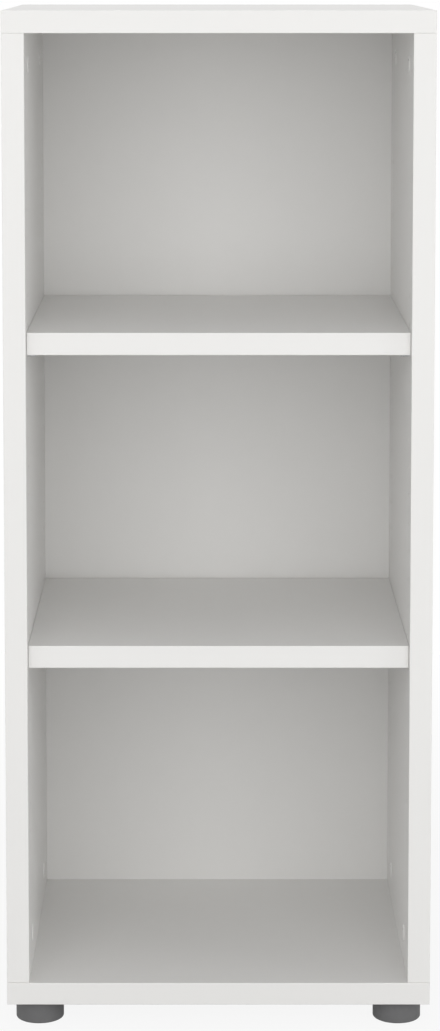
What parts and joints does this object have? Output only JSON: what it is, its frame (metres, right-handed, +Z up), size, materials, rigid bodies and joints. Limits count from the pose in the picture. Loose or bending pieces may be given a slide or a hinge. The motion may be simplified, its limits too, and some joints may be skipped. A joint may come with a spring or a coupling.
{
  "type": "open bookcase",
  "caption": "Tall narrow open bookcase of white faced chipboard with loose shelves on pins, a thin grooved back and round screw feet.",
  "frame": {"origin": "on the floor, under the middle of the bookcase", "axes": "+Z up, -Y towards the open front, +X to the right as seen from the front"},
  "size_m": [0.475, 0.375, 1.141],
  "materials": {
    "white_board": "white melamine facing on chipboard, fine matt texture",
    "white_edging": "white plastic edging, satin",
    "white_fibreboard": "white lacquered front, raw brown rear",
    "white_cap": "smooth white plastic",
    "cast_zinc": "die-cast zinc, bare",
    "bright_steel": "zinc-plated steel",
    "beech": "raw beech",
    "dark_grey_plastic": "dark grey moulded plastic, fine grain"
  },
  "bodies": {
    "carcass": {"top_panel": "white_board", "bottom_panel": "white_board", "left_side_panel": "white_board", "right_side_panel": "white_board", "top_front_edging": "white_edging", "top_left_edging": "white_edging", "top_right_edging": "white_edging", "bottom_front_edging": "white_edging", "bottom_left_edging": "white_edging", "bottom_right_edging": "white_edging", "left_side_edging": "white_edging", "right_side_edging": "white_edging", "back_panel": "white_fibreboard", "cam_locks": "cast_zinc", "cam_bolts": "bright_steel", "cam_cover_caps": "white_cap", "wooden_dowels": "beech", "foot_insert_nuts": "bright_steel", "upper_shelf_pins": "bright_steel", "lower_shelf_pins": "bright_steel"},
    "upper_shelf": {"upper_shelf": "white_board", "upper_shelf_edging": "white_edging"},
    "lower_shelf": {"lower_shelf": "white_board", "lower_shelf_edging": "white_edging"},
    "front_left_foot_stud": {"front_left_foot_stud": "bright_steel"},
    "front_left_foot_base": {"front_left_foot_base": "dark_grey_plastic"},
    "front_right_foot_stud": {"front_right_foot_stud": "bright_steel"},
    "front_right_foot_base": {"front_right_foot_base": "dark_grey_plastic"},
    "rear_left_foot_stud": {"rear_left_foot_stud": "bright_steel"},
    "rear_left_foot_base": {"rear_left_foot_base": "dark_grey_plastic"},
    "rear_right_foot_stud": {"rear_right_foot_stud": "bright_steel"},
    "rear_right_foot_base": {"rear_right_foot_base": "dark_grey_plastic"}
  },
  "joints": [
    {"name": "upper_shelf_slide", "type": "slide", "parent": "carcass", "child": "upper_shelf", "axis": [0, -1, 0], "range_m": [0, 0.365]},
    {"name": "lower_shelf_slide", "type": "slide", "parent": "carcass", "child": "lower_shelf", "axis": [0, -1, 0], "range_m": [0, 0.365]},
    {"name": "front_left_foot_lift", "type": "slide", "parent": "carcass", "child": "front_left_foot_stud", "axis": [0, 0, -1], "range_m": [0, 0.009]},
    {"name": "front_left_foot_turn", "type": "hinge", "parent": "front_left_foot_stud", "child": "front_left_foot_base", "pos_m": [-0.2025, -0.1505, 0], "axis": [0, 0, -1], "range_deg": [0, 2160]},
    {"name": "front_right_foot_lift", "type": "slide", "parent": "carcass", "child": "front_right_foot_stud", "axis": [0, 0, -1], "range_m": [0, 0.009]},
    {"name": "front_right_foot_turn", "type": "hinge", "parent": "front_right_foot_stud", "child": "front_right_foot_base", "pos_m": [0.2025, -0.1505, 0], "axis": [0, 0, -1], "range_deg": [0, 2160]},
    {"name": "rear_left_foot_lift", "type": "slide", "parent": "carcass", "child": "rear_left_foot_stud", "axis": [0, 0, -1], "range_m": [0, 0.009]},
    {"name": "rear_left_foot_turn", "type": "hinge", "parent": "rear_left_foot_stud", "child": "rear_left_foot_base", "pos_m": [-0.2025, 0.1505, 0], "axis": [0, 0, -1], "range_deg": [0, 2160]},
    {"name": "rear_right_foot_lift", "type": "slide", "parent": "carcass", "child": "rear_right_foot_stud", "axis": [0, 0, -1], "range_m": [0, 0.009]},
    {"name": "rear_right_foot_turn", "type": "hinge", "parent": "rear_right_foot_stud", "child": "rear_right_foot_base", "pos_m": [0.2025, 0.1505, 0], "axis": [0, 0, -1], "range_deg": [0, 2160]}
  ],
  "couplings": [
    {"joint": "front_left_foot_lift", "follows": "front_left_foot_turn", "m_per_rad": 0.00023873},
    {"joint": "front_right_foot_lift", "follows": "front_right_foot_turn", "m_per_rad": 0.00023873},
    {"joint": "rear_left_foot_lift", "follows": "rear_left_foot_turn", "m_per_rad": 0.00023873},
    {"joint": "rear_right_foot_lift", "follows": "rear_right_foot_turn", "m_per_rad": 0.00023873}
  ]
}
